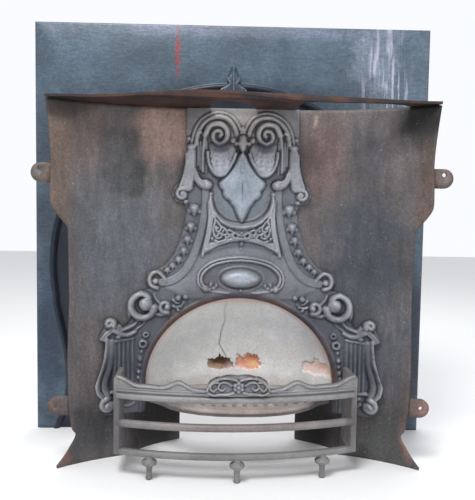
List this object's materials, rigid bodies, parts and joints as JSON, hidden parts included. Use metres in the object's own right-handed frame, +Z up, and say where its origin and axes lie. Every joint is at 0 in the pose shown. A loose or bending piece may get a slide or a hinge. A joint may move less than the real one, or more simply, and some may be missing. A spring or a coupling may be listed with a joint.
{
  "type": "cast iron fireplace insert",
  "caption": "Arched cast iron fireplace insert with coved cheeks, scrolled hood, fireclay back and bowed grate, and its flat front plate standing behind.",
  "frame": {"origin": "on the floor, under the middle of the whole object's bounding box", "axes": "+X to the viewer's right, +Y from the front grate back to the front plate, +Z up"},
  "size_m": [0.942, 0.331, 0.98],
  "materials": {
    "rusty_iron": "rusted matt",
    "blackened_iron": "worn blacklead",
    "fireclay": "bare fireclay, cracked and chipped",
    "bare_iron": "heat-greyed bare iron",
    "slate_blue_iron": "blue-black, streaked"
  },
  "bodies": {
    "root": {"cheek_left": "rusty_iron", "cheek_right": "rusty_iron", "hood_panel": "blackened_iron", "top_strip": "rusty_iron", "fireback": "fireclay", "bottom_grate": "rusty_iron", "ash_wall_left": "rusty_iron", "ash_wall_right": "rusty_iron", "front_grate": "bare_iron", "front_plate": "slate_blue_iron"}
  },
  "joints": []
}
